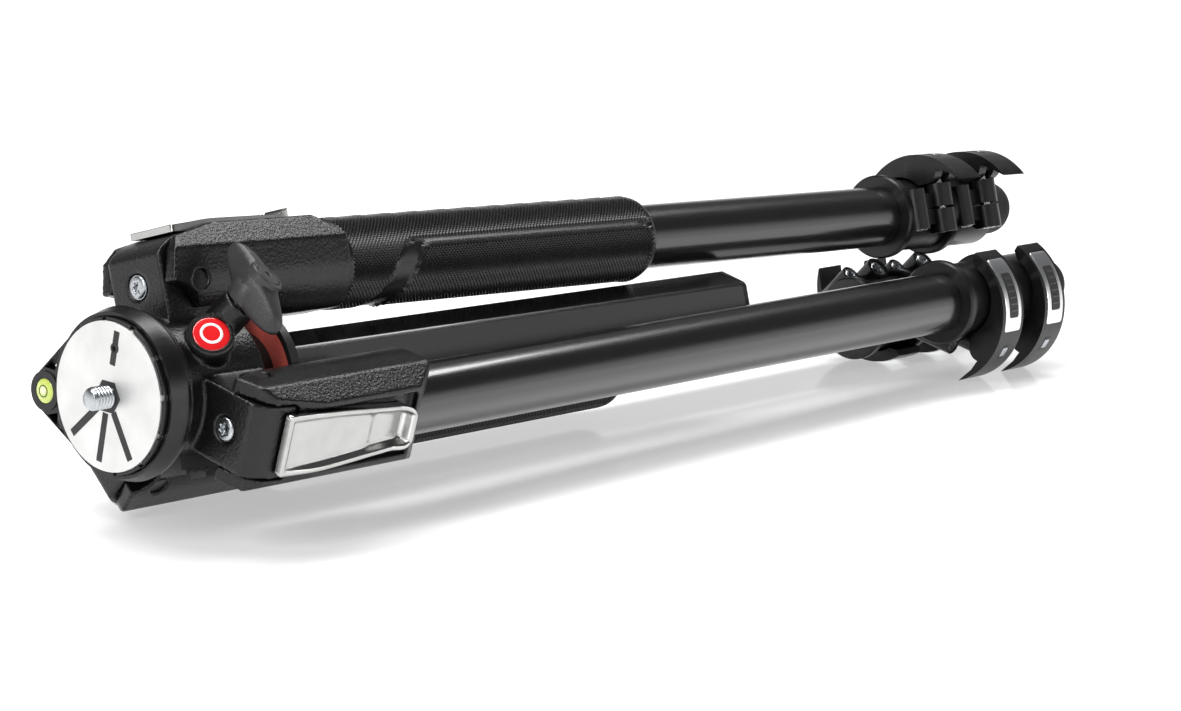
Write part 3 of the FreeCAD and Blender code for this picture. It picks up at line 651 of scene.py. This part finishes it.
def make_grip(leg):
    """One grip, as a closed sleeve."""
    around = 2 * round(math.pi * GRIP_RAD / KNURL_STEP)
    count = int((GRIP_END - GRIP_START - 6) / KNURL_STEP)
    outline = [(GRIP_START, GRIP_BORE), (GRIP_START, GRIP_RAD - 0.9), (GRIP_START + 0.3, GRIP_RAD - 0.3)]
    outline += [(GRIP_START + 1 + KNURL_STEP * k, GRIP_RAD) for k in range(count)]
    round_end = 5.0
    for step in range(1, 8):
        turn = math.pi / 2 * step / 7
        outline.append((GRIP_END - round_end + round_end * math.sin(turn),
                        GRIP_RAD - round_end + round_end * math.cos(turn) + 0.2))
    outline.append((GRIP_END - 0.2, GRIP_BORE))
    rows = len(outline)
    points = []
    for row, (x, radius) in enumerate(outline):
        for step in range(around):
            angle = 2 * math.pi * step / around
            rise = GRIP_RAD * math.asin(math.sin(angle))
            up = 1 if (row + step) % 2 else -1
            lift = grip_height(x, rise, up) if 2 < row < count + 3 else 0
            points.append((x, (radius + lift) * math.cos(angle), (radius + lift) * math.sin(angle)))
    faces = []
    for quad in sheet_faces(rows, around, closed=True):
        row, step = divmod(quad[0], around)
        a, b, c, d = quad if (row + step) % 2 else quad[1:] + quad[:1]
        faces += [(a, b, c), (a, c, d)]
    last = (rows - 1) * around
    faces += [(step, (step + 1) % around, last + (step + 1) % around, last + step)
              for step in range(around)]
    grip = piece(leg + "_grip_skin", points, faces, GRIP_RUBBER, leg + "_leg", LEG[leg])
    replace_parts(grip, leg + "_grip")
    return crisp(grip, KNURL_FOLD)


for leg in ("top", "back"):
    print(leg, "grip faces", len(make_grip(leg).data.polygons))

# %% [markdown]
# ## Angle levers
# The polished lever in each yoke is a shallow dish: a raised rim, a floor that drops again
# near the feet, and a lip that curls up for the finger. A height map over a tapered outline
# draws it, with the distance to the edge choosing between rim, wall and floor.
# %% Polished dishes
DISH_START = 36.6
DISH_LENGTH = 71.6
DISH_WIDE = 12.9
DISH_LOW = 17.0
DISH_EDGES = (0, 0.12, 0.35, 0.8, 1.5, 1.9, 2.3, 2.8, 3.3, 3.9, 5.5, 7.5)


def dish_half(along):
    """Half width: square at the pivot, tapering, with big corners at the lip."""
    taper = 3.6 * blend_in(along, 12, 78)
    corner = 1.2 if along < DISH_LENGTH / 2 else 6.0
    return rounded_half(DISH_WIDE, corner, DISH_LENGTH)(along) - taper


def dish_top(along, across):
    """Height of the rim, the wall or the floor."""
    rim = 20.0 + 1.4 * blend_in(along, 0, 24) + 2.6 * blend_in(along, 63, 70)
    floor = 19.0 - 0.9 * blend_in(along, 47, 53)
    edge = min(dish_half(along) - abs(across), along, DISH_LENGTH - along)
    outside = 0.5 * (1 - blend_in(edge, -0.4, 0.5))
    wall = blend_in(edge, 1.5, 3.9)
    return rim - outside - (rim - floor) * wall


for leg in LEGS:
    marks = spread(DISH_LENGTH, DISH_EDGES, 56)
    points, faces = relief(marks, dish_half, dish_top, DISH_LOW, DISH_EDGES + (10.5,),
                           lambda u, v, h: (DISH_START + u, v, h))
    dish = crisp(piece(leg + "_angle_dish", points, faces, POLISHED, leg + "_angle_lever",
                       LEG[leg]), 50)
    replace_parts(dish, leg + "_angle_lever")
print("dish faces", len(faces))

# %% [markdown]
# ## Lock levers
# Each black lever carries a bright badge along its back, with a dark inset and raised bars
# for the thumb, and a window that shows the cross pin; the window's dark is painted shade, a
# dark plate with the pin's face on it. The back is an arc about a centre beside the tube, so a
# place on it is an angle and a distance.
# %% Badges, insets and windows
ARC_Y = -9.04
ARC_Z = -7.0
ARC_RAD = 35.2
LOCK_X = {"upper": 542.0, "lower": 579.5}
PLATE_EDGES = (0, 0.1, 0.3, 0.6, 1.2, 2.4)


def arc_plate(name, leg, lock, first, last, wide, corner, rise, mat, sink=0.8):
    """A thin rounded plate wrapped on a lever's back, between two angles in degrees."""
    length = math.radians(last - first) * ARC_RAD

    def on_back(u, v, height):
        angle = math.radians(first) + u / ARC_RAD
        reach = ARC_RAD + height
        return LOCK_X[lock] + v, ARC_Y + reach * math.cos(angle), ARC_Z + reach * math.sin(angle)

    def top(u, v):
        edge = min(half(u) - abs(v), u, length - u)
        return rise - 0.3 * (1 - blend_in(edge, -0.3, 0.5))

    half = rounded_half(wide, corner, length)
    insets = [i for i in PLATE_EDGES if i < wide]
    points, faces = relief(spread(length, insets, 26), half, top, rise - sink, insets, on_back)
    return crisp(piece(name, points, faces, mat, leg + "_" + lock + "_lever", LEG[leg]), 50)


def dress_lever(leg, lock):
    """Everything on one lever's back."""
    label = leg + "_" + lock
    arc_plate(label + "_badge", leg, lock, 25, 87, 6.7, 1.6, 0.45, BADGE_SILVER)
    arc_plate(label + "_inset", leg, lock, 39, 76, 4.0, 1.5, 0.62, DARK_INLAY_AND_SHADE)
    for bar in range(6):
        start = 42.5 + 5.2 * bar
        arc_plate("%s_bar_%d" % (label, bar), leg, lock, start, start + 2.4, 2.8, 0.5, 0.82,
                  GREY_PLASTIC, 0.4)
    # The window is a dark plate proud of the back: painted shade of the opening, with the pin's face on it.
    arc_plate(label + "_window", leg, lock, 99, 113, 3.0, 0.8, 0.14, DARK_INLAY_AND_SHADE, 0.4)
    arc_plate(label + "_pin_face", leg, lock, 102, 110.5, 2.1, 0.9, 0.3, ZINC, 0.4)


for leg in LEGS:
    for lock in LOCK_X:
        dress_lever(leg, lock)
print("levers dressed", len(LEGS) * len(LOCK_X))

# %% [markdown]
# ## Screw heads
# The screws have a six-lobed recess. A polar sheet draws one: its rings follow the lobes
# inside the recess and turn into circles at the rim.
# %% Six-lobe screws


def screw_head(name, radius, recess, body, place):
    """A low domed head with a six-lobe recess; it faces +Z in its own frame."""
    turns = 72
    dome = 0.55
    rings = ((0.0, 0, -0.9), (0.55, 0, -0.9), (0.97, 0, -0.85), (1.0, 0, 0.25), (1.1, 0, 0.42),
             (1.25, 0.2, 0.5), (0, 0.62, 0.48), (0, 0.82, 0.36), (0, 0.95, 0.12), (0, 1.0, -0.25),
             (0, 1.0, -1.0))
    points = []
    for lobes, circle, height in rings:
        for step in range(turns):
            angle = 2 * math.pi * step / turns
            reach = lobes * recess * (1 + 0.14 * math.cos(6 * angle)) * (1 - circle) + circle * radius
            points.append((reach * math.cos(angle), reach * math.sin(angle), height * dome / 0.5))
    faces = sheet_faces(len(rings), turns, closed=True)
    faces.append(tuple(reversed(range((len(rings) - 1) * turns, len(rings) * turns))))
    return crisp(piece(name, points, faces, ZINC, body, place), 40)


def facing(matrix, spot, direction):
    """A frame at a spot in another frame, whose Z points along a direction there."""
    turn = Vector(direction).to_track_quat("Z", "Y").to_matrix().to_4x4()
    return matrix @ Matrix.Translation(Vector(spot) * MM) @ turn


LEAN = math.radians(-18.3)
SHOULDER_X = 25.3
LUG_Y = -19
PIN_REACH = Vector(JOINTS["top_leg_fold"]["pos_m"]).yz.length / MM
for number, leg in enumerate(LEGS):
    spoke = Matrix.Rotation(LEAN + math.radians(120) * number, 4, "X")
    shoulder = facing(spoke, (SHOULDER_X, 0, PIN_REACH + 1), (-1, 0, 0))
    screw_head(leg + "_shoulder_screw", 4.7, 2.0, "crown", shoulder)
    for lock, body in (("upper", leg + "_leg"), ("lower", leg + "_middle")):
        label = leg + "_" + lock
        x = LOCK_X[lock]
        clamp = facing(LEG[leg], (x, LUG_Y, -11.5), (0, 0, -1))
        friction = facing(LEG[leg], (x - 20, LUG_Y, -10.1), (0, 0, -1))
        screw_head(label + "_clamp_screw", 4.3, 1.8, body, clamp)
        screw_head(label + "_friction_screw", 3.6, 1.6, body, friction)
print("screw heads", len(LEGS) * 5)

# %% [markdown]
# ## Head plate
# The stud is a real screw thread: its radius rises and falls once a turn while it climbs one
# pitch. Black strips lie in the plate's slots, and a dark hexagon surrounds the stud's foot.
# %% Stud thread and strips
STUD_RAD = 4.76
THREAD_PITCH = 25.4 / 16
STUD_REACH = 10.0


def threaded_stud():
    """The stud's visible end, with a chamfered tip."""
    turns = 48
    rows = 96
    points = []
    for row in range(rows + 1):
        height = STUD_REACH * row / rows
        for step in range(turns):
            phase = (height / THREAD_PITCH - step / turns) % 1.0
            groove = 0.95 * (abs(phase - 0.5) * 2) ** 1.3
            tip = max(height - (STUD_REACH - 1.4), 0) * 0.9
            radius = min(STUD_RAD - groove, STUD_RAD - tip)
            angle = 2 * math.pi * step / turns
            points.append((radius * math.cos(angle), radius * math.sin(angle), height))
    faces = sheet_faces(rows + 1, turns, closed=True)
    faces.append(tuple(range(rows * turns, (rows + 1) * turns)))
    faces.append(tuple(reversed(range(turns))))
    return crisp(piece("stud_thread", points, faces, ZINC, "column",
                       facing(Matrix(), (0, 0, 0), (-1, 0, 0))), 60)


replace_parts(threaded_stud(), "head_stud")
SLOT_TURN = 7.5
SLOT_FAN = 39.5
STRIP_WIDE = 1.6


def plate_strip(name, turn, near, far):
    """One black strip in its slot, a hair below the plate's face."""
    half = rounded_half(STRIP_WIDE, 0.3, far - near)
    edges = (0, 0.1, 0.3, 0.8)
    points, faces = relief(spread(far - near, edges, 8), half, lambda u, v: 0.05, -1.0, edges,
                           lambda u, v, h: (-h, v, near + u))
    spin = Matrix.Rotation(math.radians(turn), 4, "X")
    return crisp(piece(name, points, faces, DARK_INLAY_AND_SHADE, "column", spin))


plate_strip("strip_screw_low", SLOT_TURN, 13.0, 18.0)
plate_strip("strip_screw_high", SLOT_TURN, 22.0, 27.0)
for step in (-1, 0, 1):
    plate_strip("strip_fan_%d" % (step + 2), SLOT_TURN + 180 + SLOT_FAN * step, 6.8, 27.0)
HEX_OUTLINE = ((0.4, 4.9), (-0.25, 4.9), (-0.3, 5.2), (-0.3, 6.8), (-0.2, 7.1), (0.4, 7.1), (0.4, 4.9))
points, faces = lathe([(-h, r) for h, r in HEX_OUTLINE], 6)
crisp(piece("stud_foot", points, faces, DARK_INLAY_AND_SHADE, "column",
            facing(Matrix(), (0, 0, 0), (-1, 0, 0))))
GRUB_OUTLINE = ((-1.0, 0), (-0.6, 1.0), (0.1, 1.1), (0.25, 1.5), (0.2, 2.2), (-0.4, 2.35), (-1, 2.35))
points, faces = lathe(GRUB_OUTLINE, 32)
spin = Matrix.Rotation(math.radians(SLOT_TURN), 4, "X")
crisp(piece("grub_screw_face", points, faces, BLACK_PLASTIC, "column",
            facing(spin, (0, 0, 20), (-1, 0, 0))))
print("thread turns", round(STUD_REACH / THREAD_PITCH, 1))

# %% [markdown]
# ## Bull's-eye level
# A clear dome over tinted spirit, a printed ring and one bubble. The dome is drawn as a
# turned cap, the ring as a thin band on it and the bubble as a low bead beneath the ring.
# %% Level
LEVEL_TURN = 262
LEVEL_REACH = 40.9
VIAL_RAD = 5.1


def cap_outline(radius, foot, crown, steps=8):
    """A low dome: straight side up to the foot, then a sine curve to the crown."""
    outline = [(foot - 3.5, 0.0), (foot - 3.5, radius)]
    for step in range(steps + 1):
        turn = math.pi / 2 * step / steps
        outline.append((foot + (crown - foot) * math.sin(turn), radius * math.cos(turn)))
    return outline


level_spin = Matrix.Rotation(math.radians(LEVEL_TURN), 4, "X")
level_frame = facing(level_spin, (3.0, 0, LEVEL_REACH), (-1, 0, 0))
points, faces = lathe(cap_outline(VIAL_RAD, -0.4, 0.75))
vial = crisp(piece("level_dome", points, faces, SPIRIT, "level", level_frame))
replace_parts(vial, "level_vial")
ring_outline = ((0.62, 2.1), (0.72, 2.15), (0.70, 2.5), (0.58, 2.55), (0.5, 2.3), (0.62, 2.1))
points, faces = lathe(ring_outline)
piece("level_mark", points, faces, DARK_INLAY_AND_SHADE, "level", level_frame)
points, faces = lathe(cap_outline(1.7, 0.55, 0.95))
bubble_frame = level_frame @ Matrix.Translation((0.0003, 0, 0))
piece("level_bubble", points, faces, BUBBLE, "level", bubble_frame)
print("level at", [round(c, 4) for c in level_frame.translation])

# %% [markdown]
# ## Wing knob and red cap
# The knob is one moulding with two swept wings. Sections across it, from tip to tip, change
# in width, height and offset, so the wings lean opposite ways. A round cover sits on top.
# %% Knob and cap
KNOB_FRAME = (Matrix.Rotation(math.radians(35), 4, "X") @ Matrix.Translation(Vector((44, 0, 46)) * MM)
              @ Matrix.Rotation(math.radians(20), 4, "Y"))
CAP_FRAME = (Matrix.Rotation(math.radians(44), 4, "X") @ Matrix.Translation(Vector((29.5, 0, 37)) * MM)
             @ Matrix.Rotation(math.radians(-25), 4, "Y"))
WING_REACH = 21.0
WING_TURN = -14.0


def boxy(angle, power):
    """A point of a rounded square, by angle."""
    c, s = math.cos(angle), math.sin(angle)
    return math.copysign(abs(c) ** (2 / power), c), math.copysign(abs(s) ** (2 / power), s)


def wing_knob():
    """Both wings and the hub between them, as one loft."""
    sections = 41
    turns = 40
    points = []
    for row in range(sections):
        t = math.sin(math.pi / 2 * (2 * row / (sections - 1) - 1))
        tip = math.sqrt(max(1 - abs(t) ** 12, 0.0))
        wide = (2.7 + 5.2 * (1 - abs(t)) ** 1.5) * tip
        tall = (3.4 + 4.0 * (1 - t * t)) * tip
        sweep = -4.0 * t * abs(t)
        middle = 8.4 + 3.4 * t
        for step in range(turns):
            a, b = boxy(2 * math.pi * step / turns, 4.2)
            points.append((wide * a + sweep, WING_REACH * t, middle + tall * b))
    faces = sheet_faces(sections, turns, closed=True)
    return piece("knob_wings", points, faces, GREY_PLASTIC, "knob",
                 KNOB_FRAME @ Matrix.Rotation(math.radians(WING_TURN), 4, "Z"))


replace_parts(wing_knob(), "lock_knob")
hub_outline = ((0.7, 0), (0.7, 6.9), (1.1, 7.6), (1.8, 7.9), (7.0, 8.1), (9.0, 7.4), (9.0, 0))
points, faces = lathe(hub_outline)
crisp(piece("knob_hub", points, faces, GREY_PLASTIC, "knob", KNOB_FRAME))
cover_outline = ((12.5, 0), (12.5, 7.6), (15.9, 7.6), (16.35, 7.2), (16.4, 6.3), (15.7, 6.1), (15.7, 5.5),
                 (16.3, 5.3), (16.5, 1.7), (16.3, 1.4), (14.6, 1.2), (14.5, 0))
points, faces = lathe(cover_outline)
crisp(piece("knob_cover", points, faces, GREY_PLASTIC, "knob", KNOB_FRAME))

points, faces = lathe(cap_outline(7.4, 0.1, 0.75))
cap = crisp(piece("red_cap", points, faces, RED_GLOSS, "crown", CAP_FRAME))
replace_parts(cap, "socket_cap")
mark_outline = ((0.55, 3.4), (0.80, 3.5), (0.74, 4.6), (0.5, 4.7), (0.4, 4.0), (0.55, 3.4))
points, faces = lathe(mark_outline)
piece("cap_ring", points, faces, EMBLEM_WHITE, "crown", CAP_FRAME)
bezel_outline = ((-2.0, 7.6), (0.35, 7.6), (0.55, 7.9), (0.5, 8.9), (-0.1, 9.5), (-2.0, 9.6), (-2.0, 7.6))
points, faces = lathe(bezel_outline)
crisp(piece("cap_bezel", points, faces, BLACK_CAST, "crown", CAP_FRAME))
print("knob faces", len(faces))

# %% [markdown]
# ## Floor and light
# A pale glossy sheet mirrors the tripod faintly, as a studio table does. It glows a little
# too, so that it stays as white as the surroundings. The folded tripod touches it at the
# head end and at the lock levers, so the sheet passes under the lowest point of each. Three
# soft boxes draw long highlights on the tubes, between a white horizon and a dark sky. The
# Standard view keeps the whites pure.
# %% Floor and lights


def lowest(names, x_low, x_high):
    """The lowest point of some nodes within a stretch of X."""
    best = None
    for name in names:
        for vertex in frame["nodes"][name].data.vertices:
            spot = vertex.co
            if x_low <= spot.x <= x_high and (best is None or spot.z < best.z):
                best = spot.copy()
    return best


def make_floor():
    """A big plane through the two places where the tripod touches it."""
    names = list(frame["nodes"])
    head = lowest(names, 0.02, 0.13)
    feet = lowest(names, 0.50, 0.62)
    slope = (feet.z - head.z) / (feet.x - head.x)
    reach = 6.0
    mesh = bpy.data.meshes.new("floor")
    corners = []
    for x, y in ((-reach, -reach), (reach, -reach), (reach, reach), (-reach, reach)):
        corners.append((x, y, head.z + slope * (x - head.x) - 0.0002))
    mesh.from_pydata(corners, [], [(0, 1, 2, 3)])
    floor = bpy.data.objects.new("floor", mesh)
    bpy.context.collection.objects.link(floor)
    mat, tree, shader = new_material("white_sheet")
    where = coords(tree)
    base = ramp(tree, noise(tree, where, 3, 2), ((0.3, (0.80, 0.80, 0.80)), (0.7, (0.83, 0.83, 0.83))))
    tree.links.new(base, shader.inputs["Base Color"])
    tree.links.new(span(tree, noise(tree, where, 20, 2), 0.09, 0.12), shader.inputs["Roughness"])
    shader.inputs["Emission Color"].default_value = (1, 1, 1, 1)
    shader.inputs["Emission Strength"].default_value = 0.42
    floor.data.materials.append(mat)
    return floor


def softbox(name, spot, target, size_x, size_y, power):
    """A rectangular soft light aimed at a point."""
    data = bpy.data.lights.new(name, "AREA")
    data.shape = "RECTANGLE"
    data.size = size_x
    data.size_y = size_y
    data.energy = power
    lamp = bpy.data.objects.new(name, data)
    away = (Vector(target) - Vector(spot)).normalized()
    lamp.rotation_euler = away.to_track_quat("-Z", "Y").to_euler()
    lamp.location = spot
    bpy.context.collection.objects.link(lamp)


make_floor()
MIDDLE = (0.3, 0, 0)
softbox("overhead_strip", (0.35, 0.25, 1.3), MIDDLE, 2.6, 0.40, 34)
softbox("left_strip", (-1.3, -0.2, 0.9), (0.05, 0, 0), 0.5, 1.2, 16)
softbox("low_front", (0.5, -1.9, 0.35), MIDDLE, 2.4, 0.22, 9)


def studio_world():
    """White near the horizon, which the floor mirrors, and dark overhead between the lights."""
    world = bpy.data.worlds.new("studio")
    world.use_nodes = True
    tree = world.node_tree
    where = tree.nodes.new("ShaderNodeTexCoord")
    parts = tree.nodes.new("ShaderNodeSeparateXYZ")
    tree.links.new(where.outputs["Generated"], parts.inputs["Vector"])
    sky = ramp(tree, parts.outputs["Z"], ((0.12, (1.0, 1.0, 1.0)), (0.32, (0.10, 0.10, 0.105))))
    tree.links.new(sky, tree.nodes["Background"].inputs["Color"])
    bpy.context.scene.world = world


studio_world()
bpy.context.scene.view_settings.view_transform = "Standard"
